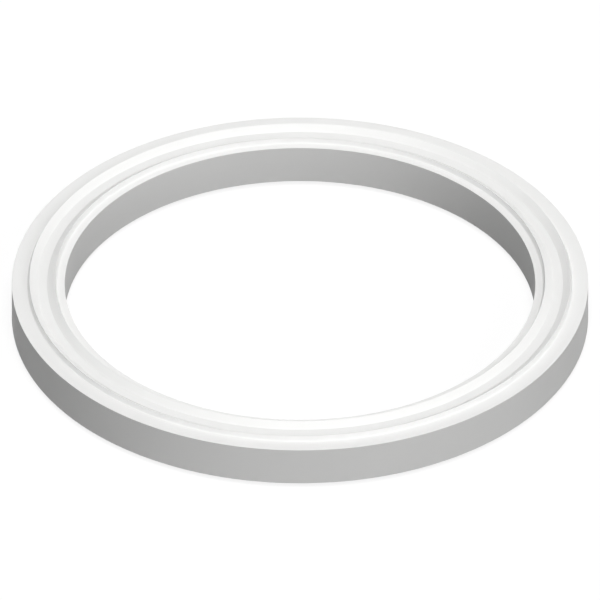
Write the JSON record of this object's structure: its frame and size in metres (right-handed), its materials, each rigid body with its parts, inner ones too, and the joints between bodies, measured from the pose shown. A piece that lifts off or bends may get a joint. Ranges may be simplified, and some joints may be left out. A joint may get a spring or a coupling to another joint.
{
  "type": "ribbed gasket",
  "caption": "Round sealing ring of soft white rubber with concentric sharp-crested ribs on both faces, for a joint between two flat-faced pipe or hose ends.",
  "frame": {"origin": "on the bore axis, halfway between the two faces", "axes": "+Z along the bore axis, out of the upper face; the ring is the same all round, so X and Y are free"},
  "size_m": [0.098, 0.098, 0.0088],
  "materials": {
    "white_rubber": "matte moulded"
  },
  "bodies": {
    "root": {"gasket_ring": "white_rubber"}
  },
  "joints": []
}
